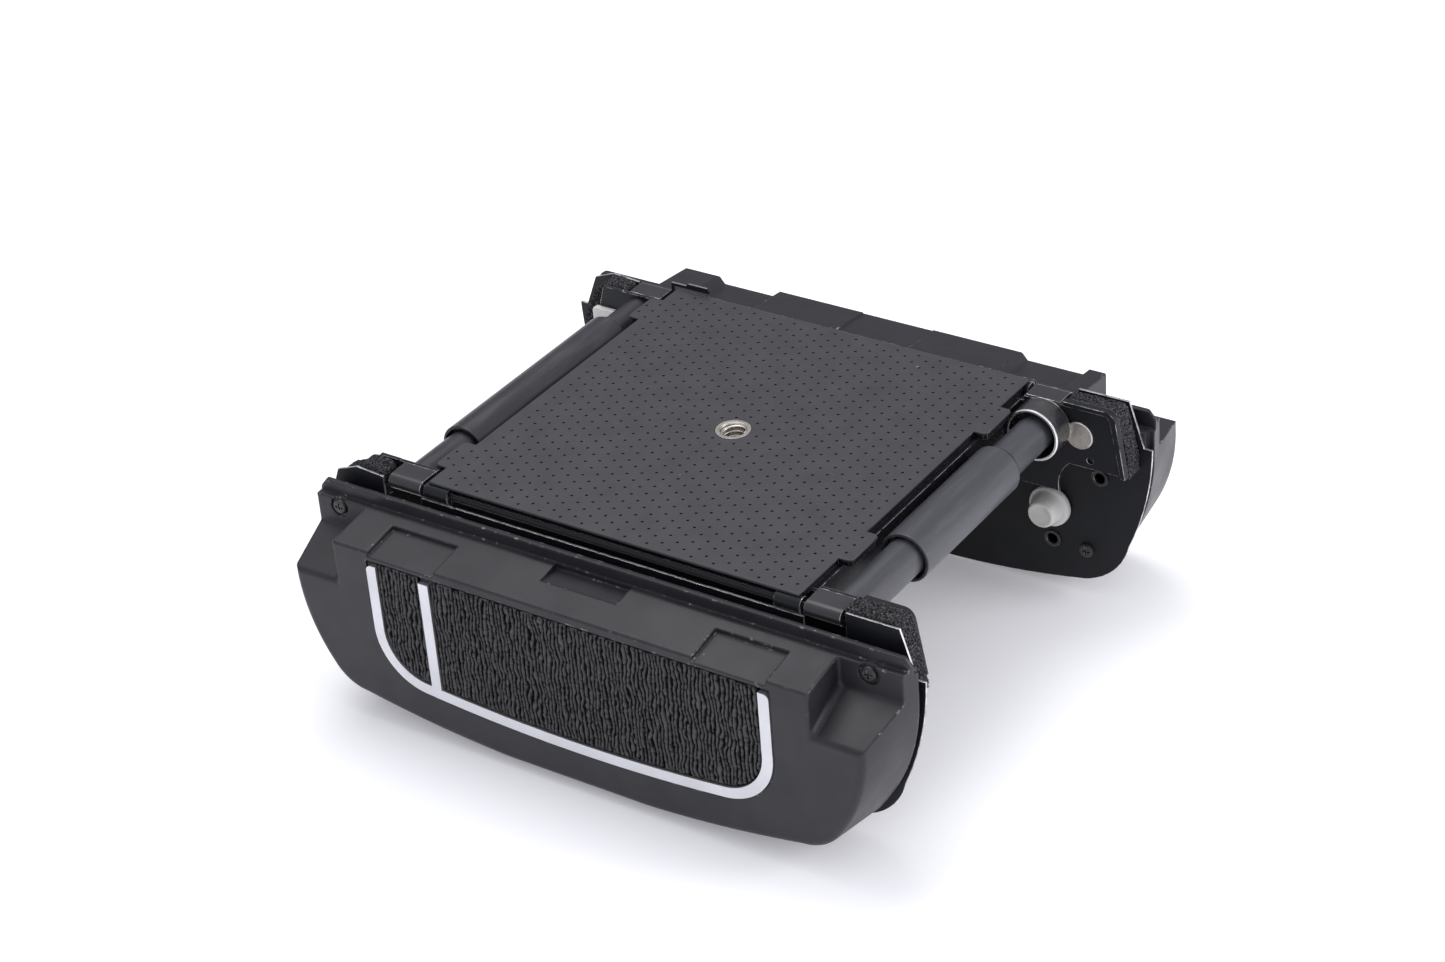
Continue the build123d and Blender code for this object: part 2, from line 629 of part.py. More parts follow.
def cover_screws():
    screws = [pan_screw(x, z, COVER_Y, -1, 6.0) for x, z in COVER_SCREWS]
    return both_sides(screws[0] + screws[1])


def panel_outline(inset, top):
    """The U-shaped panel: straight sides, round lower corners and a gently bowed lower edge."""
    side = TRIM_OUTER_X - inset
    corner_x = TRIM_OUTER_X - TRIM_CORNER_R
    corner_r = TRIM_CORNER_R - inset
    lean = math.asin(corner_x / (TRIM_BOTTOM_R - TRIM_CORNER_R))
    bottom_centre = TRIM_SIDE_END + (TRIM_BOTTOM_R - TRIM_CORNER_R) * math.cos(lean)
    turn = math.pi / 2 - lean

    def on_corner(angle):
        return corner_x + corner_r * math.cos(angle), TRIM_SIDE_END - corner_r * math.sin(angle)

    end_x, end_z = on_corner(turn)
    middle_x, middle_z = on_corner(turn / 2)
    lowest = bottom_centre - (TRIM_BOTTOM_R - inset)
    return outline(
        (-side, top), (side, top), (side, TRIM_SIDE_END), ((middle_x, middle_z), (end_x, end_z)),
        ((0, lowest), (-end_x, end_z)), ((-middle_x, middle_z), (-side, TRIM_SIDE_END)))


def panel(inset, grow, y_from, y_to, top):
    return across(panel_outline(inset - grow, top), y_from, y_to)


def divider(grow, y_from, y_to, top):
    return block((DIVIDER_X[0] - grow, DIVIDER_X[1] + grow), (y_from, y_to), (-46.0, top))


def trim(form):
    """Bright U-shaped strip with one upright bar."""
    low = form.face_y - PANEL_RECESS
    high = form.face_y + TRIM_PROUD
    outer = panel(0, 0, low, high, TRIM_TOP)
    outer = soften(outer, 1.5, (low, high), (TRIM_TOP, TRIM_TOP), (TRIM_OUTER_X, TRIM_OUTER_X))
    strip = outer - panel(TRIM_W, 0, low, high, TRIM_TOP)
    return strip + divider(0, low, high, TRIM_TOP - 0.5)


def leather(x_from, x_to, form):
    """Leather between the trim's sides, cut to one side of the upright bar."""
    low = form.face_y - PANEL_RECESS
    high = form.face_y + LEATHER_PROUD
    sheet = panel(TRIM_W, -PANEL_GAP, low, high, LEATHER_TOP)
    sheet -= divider(PANEL_GAP, low, high, 0)
    return sheet & block((x_from, x_to), (low, high), (-60, 0))


def housing_pieces(form):
    """Every piece of one housing, by name, placed at the rear."""
    return {
        "casing": casing(form),
        "cover_plate": cover_plate(),
        "cover_eyelets": cover_eyelets(),
        "trim": trim(form),
        "leather_main": leather(DIVIDER_X[1], 60, form),
        "leather_side": leather(-60, DIVIDER_X[0], form),
        "foam_seals": foam_seals(),
        "casing_screws": casing_screws(),
        "cover_screws": cover_screws(),
        "hinge_lugs": hinge_lugs(),
    }


# ---------------------------------------------------------------- hub on the rear cover plate

def hub_knob():
    """Stepped nylon knob with its spindle in one piece."""
    x, z = HUB
    knob = rod_y(x, z, HUB_R, HUB_FLANGE_Y, COVER_Y - 0.4)
    knob += rod_y(x, z, HUB_NOSE_R, HUB_NOSE_Y, HUB_FLANGE_Y)
    edges = knob.edges().filter_by(GeomType.CIRCLE).sort_by(Axis.Y)
    knob = fillet(edges[0], 0.6)
    return knob + rod_y(x, z, SPINDLE_R, HUB_FLANGE_Y, 63.0)


def hub_bush():
    x, z = HUB
    bush = rod_y(x, z, HUB_BUSH_R, COVER_Y, COVER_Y + COVER_T)
    bush += rod_y(x, z, HUB_BUSH_R + 1.2, COVER_Y + COVER_T, COVER_Y + COVER_T + 1.0)
    bush += rod_y(x, z, HUB_BUSH_R, COVER_Y + COVER_T, COVER_Y + 5.0)
    return bush - rod_y(x, z, SPINDLE_R + RUNNING_GAP, COVER_Y - 1, COVER_Y + 6)


def hub_clip():
    x, z = HUB
    low = COVER_Y + 5.3
    clip = rod_y(x, z, 3.6, low, low + 0.8) - rod_y(x, z, SPINDLE_R, low, low + 0.8)
    return clip - block((x - 0.9, x + 0.9), (low, low + 0.8), (z - 5, z))


# ---------------------------------------------------------------- every piece, written out

def all_pieces():
    pieces = {
        "bed_covering": bed_covering(),
        "bed_plate": bed_plate(),
        "under_frame": under_frame(),
        "bed_screws": bed_screws(),
        "bed_tab": bed_tab(),
        "tripod_socket": tripod_socket(),
        "socket_nut": socket_nut(),
        "shaft_cup": shaft_cup(),
    }
    pieces["front_wall"] = to_front(wall(FRONT_WALL_CORNER))
    pieces["rear_wall"] = wall(REAR_WALL_CORNER)
    for make in (wall_disc, wall_shoe, hinge_straps, hinge_pin):
        rear = make()
        pieces["rear_" + make.__name__] = rear
        pieces["front_" + make.__name__] = to_front(rear)
    for name, side, sleeve_y in (("right", 1, RIGHT_SLEEVE_Y), ("left", -1, LEFT_SLEEVE_Y)):
        pieces[name + "_shaft"] = shaft(side, sleeve_y)
        pieces[name + "_sleeve"] = sleeve(side, sleeve_y)
        pieces[name + "_bushes"] = bushes(side, sleeve_y)
        pieces[name + "_snap_ring"] = snap_ring(side, sleeve_y)
    for name, piece in housing_pieces(FRONT_CASING).items():
        pieces["front_" + name] = to_front(piece)
    for name, piece in housing_pieces(REAR_CASING).items():
        pieces["rear_" + name] = piece
    x, z = HUB
    pieces["rear_cover_plate"] -= rod_y(x, z, HUB_BUSH_R, COVER_Y - 1, COVER_Y + 2)
    pieces["drive_hub"] = hub_knob()
    pieces["hub_bush"] = hub_bush()
    pieces["hub_clip"] = hub_clip()
    return pieces


os.makedirs("parts", exist_ok=True)
for node, solid in all_pieces().items():
    export_step(solid, "parts/" + node + ".step")
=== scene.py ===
import json
import math

import bmesh
import bpy
import numpy as np
from mathutils import Matrix, Vector, geometry, noise

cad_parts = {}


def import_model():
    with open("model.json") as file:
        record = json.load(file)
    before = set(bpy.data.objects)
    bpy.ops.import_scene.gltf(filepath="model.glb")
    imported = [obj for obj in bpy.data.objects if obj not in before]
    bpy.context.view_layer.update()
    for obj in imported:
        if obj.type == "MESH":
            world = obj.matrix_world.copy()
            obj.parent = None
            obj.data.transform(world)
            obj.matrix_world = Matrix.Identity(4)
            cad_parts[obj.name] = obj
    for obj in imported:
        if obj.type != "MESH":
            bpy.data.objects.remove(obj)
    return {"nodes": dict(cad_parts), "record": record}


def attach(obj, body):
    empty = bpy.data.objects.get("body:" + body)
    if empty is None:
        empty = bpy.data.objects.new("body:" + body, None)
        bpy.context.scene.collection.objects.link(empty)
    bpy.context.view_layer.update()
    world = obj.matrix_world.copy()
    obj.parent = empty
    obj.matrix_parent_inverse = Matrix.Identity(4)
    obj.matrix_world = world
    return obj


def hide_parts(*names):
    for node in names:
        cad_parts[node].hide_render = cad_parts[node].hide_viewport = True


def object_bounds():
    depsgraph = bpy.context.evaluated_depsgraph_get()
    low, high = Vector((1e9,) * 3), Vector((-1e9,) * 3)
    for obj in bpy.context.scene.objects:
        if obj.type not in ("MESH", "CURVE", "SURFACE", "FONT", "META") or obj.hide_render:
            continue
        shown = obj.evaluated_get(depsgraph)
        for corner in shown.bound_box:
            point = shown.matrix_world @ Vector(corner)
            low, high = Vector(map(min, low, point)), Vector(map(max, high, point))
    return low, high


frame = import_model()
cad_low, cad_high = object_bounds()
nodes = frame["nodes"]

MM = 0.001

# A colour mix node has several sockets of each name, so its own are picked by number.
MIX_FACTOR, MIX_A, MIX_B, MIX_RESULT = 0, 6, 7, 2


# ------------------------------------------------------------------ materials

class Surface:
    """A node material under construction: one Principled shader in object coordinates."""

    def __init__(self, name, roughness=0.5, metallic=0.0):
        self.material = bpy.data.materials.new(name)
        self.material.use_nodes = True
        self.nodes = self.material.node_tree.nodes
        self.links = self.material.node_tree.links
        self.shader = self.nodes["Principled BSDF"]
        self.set("Roughness", roughness)
        self.set("Metallic", metallic)
        coordinates = self.nodes.new("ShaderNodeTexCoord")
        self.place = coordinates.outputs["Object"]
        self.facing = coordinates.outputs["Normal"]
        self.normal = None

    def set(self, socket, value):
        """Give one of the shader's inputs a value or a link."""
        self._feed(self.shader.inputs[socket], value)

    def _feed(self, socket, value):
        if isinstance(value, bpy.types.NodeSocket):
            self.links.new(value, socket)
        elif isinstance(value, tuple) and len(value) == 3 and socket.type == "RGBA":
            socket.default_value = (*value, 1.0)
        else:
            socket.default_value = value

    def _node(self, kind, inputs, output=0, **settings):
        node = self.nodes.new(kind)
        for key, value in settings.items():
            setattr(node, key, value)
        for key, value in inputs.items():
            self._feed(node.inputs[key], value)
        return node.outputs[output]

    def axis(self, vector, name):
        """One component of a vector."""
        return self._node("ShaderNodeSeparateXYZ", {"Vector": vector}, name)

    def stretched(self, x, y, z):
        """Object coordinates, multiplied along each axis."""
        return self._node("ShaderNodeVectorMath", {0: self.place, 1: (x, y, z)}, operation="MULTIPLY")

    def noise(self, size_mm, detail=3.0, rough=0.5, vector=None):
        """Smooth noise, 0 to 1, with features about size_mm across."""
        inputs = {"Vector": vector or self.place, "Scale": 1 / MM / size_mm,
                  "Detail": detail, "Roughness": rough}
        return self._node("ShaderNodeTexNoise", inputs)

    def cells(self, size_mm, feature="F1", output="Distance", vector=None):
        """Cells about size_mm across."""
        inputs = {"Vector": vector or self.place, "Scale": 1 / MM / size_mm}
        return self._node("ShaderNodeTexVoronoi", inputs, output, feature=feature)

    def ramp(self, value, low, high, out_low=0.0, out_high=1.0):
        """Map a value from low..high to out_low..out_high, clamped."""
        inputs = {"Value": value, "From Min": low, "From Max": high, "To Min": out_low, "To Max": out_high}
        return self._node("ShaderNodeMapRange", inputs, clamp=True)

    def math(self, operation, a, b=0.0):
        return self._node("ShaderNodeMath", {0: a, 1: b}, operation=operation)

    def mix(self, factor, a, b):
        """Blend two colours."""
        node = self.nodes.new("ShaderNodeMix")
        node.data_type = "RGBA"
        for socket, value in ((MIX_FACTOR, factor), (MIX_A, a), (MIX_B, b)):
            self._feed(node.inputs[socket], value)
        return node.outputs[MIX_RESULT]

    def bump(self, height, depth_mm):
        """Add a height field to the surface normal."""
        inputs = {"Height": height, "Distance": depth_mm * MM, "Strength": 1.0}
        if self.normal is not None:
            inputs["Normal"] = self.normal
        self.normal = self._node("ShaderNodeBump", inputs)
        self.set("Normal", self.normal)

    def soft_edges(self, radius_mm):
        """Round sharp edges in shading, and return a mask that is 1 along them."""
        self.normal = self._node("ShaderNodeBevel", {"Radius": radius_mm * MM}, samples=6)
        self.set("Normal", self.normal)
        true = self._node("ShaderNodeNewGeometry", {}, "Normal")
        same = self._node("ShaderNodeVectorMath", {0: self.normal, 1: true}, "Value", operation="DOT_PRODUCT")
        return self.ramp(same, 0.995, 0.93)

    def stored(self, name):
        """A value saved on the mesh's points."""
        return self._node("ShaderNodeAttribute", {}, "Fac", attribute_name=name)

    def specks(self, size_mm, amount):
        """Sparse dust: a mask of small dots in a few of the cells."""
        distance = self.cells(size_mm)
        chance = self._node("ShaderNodeSeparateColor", {"Color": self.cells(size_mm, output="Color")})
        dot = self.ramp(distance, 0.11, 0.05)
        chosen = self.ramp(chance, amount, amount - 0.01)
        return self.math("MULTIPLY", dot, chosen)


def painted(name, color, roughness, wear, edge_mm, grain_depth=0.012, shine=0.5, bare=None):
    """Satin paint with fine grain, smudges, dust, and metal where edges are rubbed or where bare() says so."""
    s = Surface(name, roughness)
    edge = s.soft_edges(edge_mm)
    patches = s.noise(6.0, 4.0)
    colour = s.mix(s.ramp(patches, 0.3, 0.75), color, tuple(c * 1.35 for c in color))
    dusty = s.specks(3.2, 0.012)
    colour = s.mix(s.math("MULTIPLY", dusty, 0.55), colour, (0.55, 0.55, 0.58))
    wear_from = 0.62 - 0.35 * wear
    rubbed = s.math("MULTIPLY", edge, s.ramp(s.noise(2.4, 5.0, 0.65), wear_from, wear_from + 0.16))
    if bare:
        rubbed = s.math("MAXIMUM", rubbed, bare(s))
    s.set("Base Color", s.mix(rubbed, colour, (0.68, 0.68, 0.69)))
    s.set("Metallic", rubbed)
    smudge = s.ramp(s.noise(14.0, 3.0), 0.35, 0.7, roughness - 0.05, roughness + 0.07)
    s.set("Roughness", s.math("SUBTRACT", smudge, s.math("MULTIPLY", rubbed, 0.2)))
    s.set("Specular IOR Level", shine)
    s.bump(s.noise(0.35, 2.0), grain_depth)
    return s.material


def bare_edges(s):
    """The narrow edges of the cover plates, and a line along the bed plate's lower front and rear edges."""
    out = s.math("ABSOLUTE", s.axis(s.place, "Y"))
    facing = s.math("ABSOLUTE", s.axis(s.facing, "Y"))
    plate = s.math("MULTIPLY", s.ramp(out, 55.08 * MM, 55.14 * MM), s.ramp(out, 55.80 * MM, 55.74 * MM))
    edge = s.math("MULTIPLY", plate, s.ramp(facing, 0.4, 0.2))
    bed = s.math("MULTIPLY", s.ramp(out, 53.70 * MM, 53.76 * MM), s.ramp(out, 53.90 * MM, 53.84 * MM))
    line = s.math("MULTIPLY", bed, s.ramp(s.axis(s.place, "Z"), -1.90 * MM, -2.0 * MM))
    rub = s.ramp(s.noise(2.6, 5.0, 0.7), 0.36, 0.56, 0.25, 1.0)
    return s.math("MULTIPLY", s.math("MAXIMUM", edge, line), rub)


def anodised(name, shaded_left_color, lit_right_color, roughness):
    """Turned aluminium, dyed black, with faint lathe rings round the Y axis and length-wise rub marks. Painted
    light: the black is lighter towards +X, so the right sleeve looks more lit than the left.
    """
    s = Surface(name, roughness)
    edge = s.soft_edges(0.2)
    rings = s.noise(0.25, 2.0, vector=s.stretched(0.03, 1.0, 0.03))
    rubs = s.noise(2.2, 4.0, 0.6, vector=s.stretched(1.0, 0.12, 1.0))
    # Painted light: the black runs from the shaded left colour to the lit right colour across X.
    dye_and_painted_light = s.mix(s.ramp(s.axis(s.place, "X"), -40 * MM, 40 * MM), shaded_left_color, lit_right_color)
    colour = s.mix(s.ramp(rubs, 0.45, 0.8, 0.0, 0.4), dye_and_painted_light, (0.09, 0.09, 0.10))
    worn = s.math("MULTIPLY", edge, s.ramp(s.noise(1.5, 4.0), 0.5, 0.7))
    s.set("Base Color", s.mix(worn, colour, (0.45, 0.45, 0.46)))
    s.set("Roughness", s.ramp(rubs, 0.3, 0.8, roughness - 0.04, roughness + 0.08))
    s.set("Metallic", s.math("MULTIPLY", worn, 0.8))
    s.bump(rings, 0.006)
    return s.material


def metal(name, color, roughness, stain=0.25):
    """Bare metal with a fine mottle and slightly darker, duller stains."""
    s = Surface(name, roughness, 1.0)
    s.soft_edges(0.15)
    mottle = s.noise(0.4, 3.0, 0.6)
    stains = s.ramp(s.noise(3.5, 5.0, 0.6), 0.42, 0.72)
    colour = s.mix(s.math("MULTIPLY", stains, stain), color, tuple(c * 0.45 for c in color))
    s.set("Base Color", s.mix(s.ramp(mottle, 0.3, 0.7, 0.0, 0.15), colour, tuple(c * 0.7 for c in color)))
    s.set("Roughness", s.ramp(stains, 0.0, 1.0, roughness, roughness + 0.18))
    s.bump(mottle, 0.004)
    return s.material


def vinyl():
    """Charcoal sheet with a very fine print, faint scuffs, a little dust, and painted shade inside its dimples,
    where it turns near black and barely reflects.
    """
    s = Surface("dimpled_vinyl", 0.46)
    fine = s.noise(0.22, 2.0)
    broad = s.noise(9.0, 4.0, 0.55)
    scuffs = s.ramp(s.noise(3.0, 6.0, 0.7, vector=s.stretched(0.35, 1.6, 1.0)), 0.62, 0.74)
    colour = s.mix(s.ramp(broad, 0.3, 0.7), (0.027, 0.027, 0.033), (0.036, 0.036, 0.043))
    colour = s.mix(s.math("MULTIPLY", scuffs, 0.16), colour, (0.16, 0.16, 0.17))
    colour = s.mix(s.math("MULTIPLY", s.specks(5.0, 0.02), 0.5), colour, (0.5, 0.5, 0.52))
    # Painted shade: by the stored dimple depth, the colour goes near black and the reflection fades.
    pit = s.ramp(s.stored("pit"), 0.05, 0.6)
    s.set("Base Color", s.mix(pit, colour, (0.003, 0.003, 0.004)))
    s.set("Roughness", s.ramp(broad, 0.3, 0.7, 0.42, 0.52))
    s.set("Specular IOR Level", s.ramp(pit, 0.0, 1.0, 0.5, 0.04))
    s.bump(fine, 0.010)
    return s.material


def leather_finish():
    """Black grained leather with painted shade in the creases, where it is near black, dull and barely
    reflecting; a little polished on the pebbles.
    """
    s = Surface("grained_leather", 0.5)
    # Painted shade: the low parts of the stored grain are coloured near black.
    crease_shade = s.ramp(s.stored("grain"), 0.70, 0.12)
    pores = s.cells(0.4, "DISTANCE_TO_EDGE", vector=s.stretched(1.0, 1.0, 0.7))
    fine = s.noise(0.16, 3.0, 0.6)
    tone = s.noise(5.0, 4.0)
    colour = s.mix(s.ramp(tone, 0.3, 0.75), (0.026, 0.026, 0.029), (0.040, 0.039, 0.042))
    s.set("Base Color", s.mix(crease_shade, colour, (0.002, 0.002, 0.002)))
    s.set("Roughness", s.ramp(crease_shade, 0.0, 1.0, 0.40, 0.85))
    s.set("Specular IOR Level", s.ramp(crease_shade, 0.0, 0.9, 0.55, 0.05))
    s.bump(s.ramp(pores, 0.0, 0.22), 0.035)
    s.bump(fine, 0.018)
    return s.material


def foam_finish():
    """Charcoal open-cell foam with painted shade: near black down in the pores and hollows, pale on the cell
    walls.
    """
    s = Surface("black_foam", 0.95)
    clumps = s.ramp(s.noise(0.5, 3.0, 0.75), 0.41, 0.60)
    pores = s.ramp(s.cells(0.4), 0.15, 0.5)
    # Painted shade: the colour darkens with the depth of the pores and hollows.
    depth = s.math("MULTIPLY", clumps, s.math("ADD", s.math("MULTIPLY", pores, 0.6), 0.4))
    s.set("Base Color", s.mix(depth, (0.003, 0.003, 0.0035), (0.125, 0.125, 0.135)))
    s.set("Specular IOR Level", 0.12)
    s.bump(depth, 0.30)
    return s.material


def nylon():
    """Off-white nylon: soft, slightly translucent, with handling marks."""
    s = Surface("white_nylon", 0.38)
    s.soft_edges(0.3)
    marks = s.ramp(s.noise(3.0, 5.0, 0.65), 0.5, 0.75)
    s.set("Base Color", s.mix(s.math("MULTIPLY", marks, 0.35), (0.66, 0.65, 0.62), (0.42, 0.41, 0.39)))
    s.set("Subsurface Weight", 0.25)
    s.set("Subsurface Scale", 0.002)
    s.set("Subsurface Radius", (1.0, 0.8, 0.6))
    s.set("Roughness", s.ramp(marks, 0.0, 1.0, 0.34, 0.5))
    s.bump(s.noise(0.3, 2.0), 0.008)
    return s.material


def bright_trim():
    """Matt silver strip with a fine upright grain."""
    s = Surface("silver_trim", 0.42, 0.85)
    s.soft_edges(0.15)
    grain = s.noise(0.12, 2.0, vector=s.stretched(1.0, 1.0, 0.25))
    tone = s.noise(8.0, 3.0)
    s.set("Base Color", s.mix(s.ramp(tone, 0.3, 0.7), (0.63, 0.635, 0.66), (0.70, 0.705, 0.73)))
    s.set("Roughness", s.ramp(grain, 0.3, 0.7, 0.36, 0.50))
    s.bump(grain, 0.003)
    return s.material


def cup_finish():
    """The cup: turned black, with both rims machined bright and a dark inside."""
    s = Surface("polished_aluminium", 0.3)
    s.soft_edges(0.08)
    along = s.axis(s.place, "Y")
    front_rim = s.ramp(along, 40.15 * MM, 39.95 * MM)
    rear_rim = s.ramp(along, 46.12 * MM, 46.22 * MM)
    bright = s.math("MAXIMUM", front_rim, rear_rim)
    rings = s.noise(0.3, 2.0, vector=s.stretched(0.04, 1.0, 0.04))
    smudge = s.ramp(s.noise(4.0, 4.0), 0.4, 0.7)
    black = s.mix(smudge, (0.022, 0.022, 0.024), (0.045, 0.045, 0.048))
    s.set("Base Color", s.mix(bright, black, (0.86, 0.86, 0.87)))
    s.set("Metallic", bright)
    s.set("Roughness", s.ramp(smudge, 0.0, 1.0, 0.24, 0.36))
    s.bump(rings, 0.004)
    return s.material


def worn_crest():
    """Blackened steel that is rubbed bright where it faces straight up."""
    s = Surface("polished_steel", 0.42)
    up = s.axis(s.facing, "Z")
    ragged = s.ramp(s.noise(1.3, 5.0, 0.7), 0.3, 0.7, -0.04, 0.02)
    crest = s.ramp(s.math("ADD", up, ragged), 0.94, 0.975)
    s.set("Base Color", s.mix(crest, (0.010, 0.010, 0.011), (0.55, 0.55, 0.57)))
    s.set("Metallic", crest)
    s.set("Specular IOR Level", 0.25)
    s.set("Roughness", s.ramp(crest, 0.0, 1.0, 0.5, 0.24))
    s.bump(s.noise(0.3, 3.0), 0.006)
    return s.material


MATERIALS = {
    "dimpled_vinyl": vinyl(),
    "black_paint": painted("black_paint", (0.006, 0.0065, 0.009), 0.48, wear=0.55, edge_mm=0.2, shine=0.27,
                           bare=bare_edges),
    "black_lacquer": painted("black_lacquer", (0.018, 0.018, 0.022), 0.36, wear=0.85, edge_mm=0.25,
                             grain_depth=0.004),
    "black_casing": painted("black_casing", (0.013, 0.013, 0.0165), 0.44, wear=0.12, edge_mm=0.8, shine=0.40),
    # The second colour is painted light: a lighter black that makes the right sleeve look more lit.
    "black_anodised": anodised("black_anodised", (0.019, 0.019, 0.025), (0.046, 0.046, 0.056), 0.36),
    "polished_aluminium": cup_finish(),
    "silver_trim": bright_trim(),
    "grained_leather": leather_finish(),
    "black_foam": foam_finish(),
    "white_nylon": nylon(),
    "nickel": metal("nickel", (0.60, 0.56, 0.51), 0.27, stain=0.5),
    "polished_steel": worn_crest(),
    "blackened_steel": painted("blackened_steel", (0.016, 0.016, 0.017), 0.36, wear=0.45, edge_mm=0.12),
    "bronze": metal("bronze", (0.55, 0.38, 0.18), 0.42),
}


def dress(piece, slot):
    """Give a piece the material of its slot."""
    piece.data.materials.clear()
    piece.data.materials.append(MATERIALS[slot])


# ------------------------------------------------------------------ mesh helpers

# Points closer than this, in metres, are one point.
WELD = 1e-7

# The triangulation's setting that keeps only what lies inside the outlines.
INSIDE_ONLY = 1


class Solid:
    """A closed mesh in millimetres, put together from sheets and strips of faces."""

    def __init__(self):
        self.points = []
        self.faces = []
        self.values = []

    def add(self, points, values=None):
        """Add points, each with a value from 0 to 1 for the material, and return the index of the first."""
        first = len(self.points)
        self.points.extend(points)
        self.values.extend(values or [0.0] * len(points))
        return first

    def piece(self, name, body, slot, replaces=None, value_name=None, flat_z=None):
        """Weld the faces into one object that rides on a body. Faces lying at flat_z are shaded flat."""
        mesh = bpy.data.meshes.new(name)
        mesh.from_pydata([Vector(p) * MM for p in self.points], [], self.faces)
        if value_name:
            mesh.attributes.new(value_name, "FLOAT", "POINT").data.foreach_set("value", self.values)
        tidy = bmesh.new()
        tidy.from_mesh(mesh)
        bmesh.ops.remove_doubles(tidy, verts=tidy.verts, dist=WELD)
        bmesh.ops.recalc_face_normals(tidy, faces=tidy.faces)
        for face in tidy.faces:
            face.smooth = flat_z is None or any(abs(v.co.z - flat_z * MM) > WELD for v in face.verts)
        tidy.to_mesh(mesh)
        tidy.free()
        piece = bpy.data.objects.new(name, mesh)
        bpy.context.scene.collection.objects.link(piece)
        dress(piece, slot)
        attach(piece, body)
        if replaces:
            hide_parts(replaces)

    def band(self, low, high, count):
        """Join two closed rings of points, given by their first indices, with a band of four-sided faces."""
        for k in range(count):
            after = (k + 1) % count
            self.faces.append((low + k, low + after, high + after, high + k))

    def sheet(self, points, faces, values=None):
        """Add points and the faces between them."""
        first = self.add(points, values)
        self.faces += [tuple(first + k for k in face) for face in faces]


def resample(loop, spacing):
    """Points at an even spacing round a closed loop, keeping its corners."""
    points = []
    for start, end in zip(loop, loop[1:] + loop[:1]):
        steps = max(1, round(math.dist(start, end) / spacing))
        points += [(start[0] + (end[0] - start[0]) * k / steps, start[1] + (end[1] - start[1]) * k / steps)
                   for k in range(steps)]
    return points


def inwards(loop, distance):
    """A counter-clockwise loop moved inwards by its corner bisectors."""
    moved = []
    count = len(loop)
    for k in range(count):
        before, here, after = (Vector(loop[(k + step) % count]) for step in (-1, 0, 1))
        first = (here - before).normalized()
        second = (after - here).normalized()
        normal = Vector((-first.y - second.y, first.x + second.x))
        normal = normal.normalized() / max(0.5, math.sqrt((1 + first.dot(second)) / 2))
        moved.append(tuple(here + normal * distance))
    return moved


def arc(centre, radius, start, end, steps):
    """Points on an arc, with its angles in degrees."""
    angles = [math.radians(start + (end - start) * k / steps) for k in range(steps + 1)]
    return [(centre[0] + radius * math.cos(a), centre[1] + radius * math.sin(a)) for a in angles]


def fill(loops, inner_points=(), hole_r=0.0):
    """Triangulate the area inside the first loop, through the inner points, with a round hole at the origin."""
    points = [Vector(p) for loop in loops for p in loop] + [Vector(p) for p in inner_points]
    edges = []
    first = 0
    for loop in loops:
        edges += [(first + k, first + (k + 1) % len(loop)) for k in range(len(loop))]
        first += len(loop)
    placed, _, faces, *_ = geometry.delaunay_2d_cdt(points, edges, [], INSIDE_ONLY, 1e-6)

    def from_origin(face):
        return sum((placed[k] for k in face), Vector((0, 0))).length / len(face)

    return [tuple(p) for p in placed], [tuple(face) for face in faces if from_origin(face) >= hole_r]


# ------------------------------------------------------------------ carried-over nodes

for entry in frame["record"]["subparts"]:
    dress(nodes[entry["node"]], entry["material_slot"])


# ------------------------------------------------------------------ dimpled covering

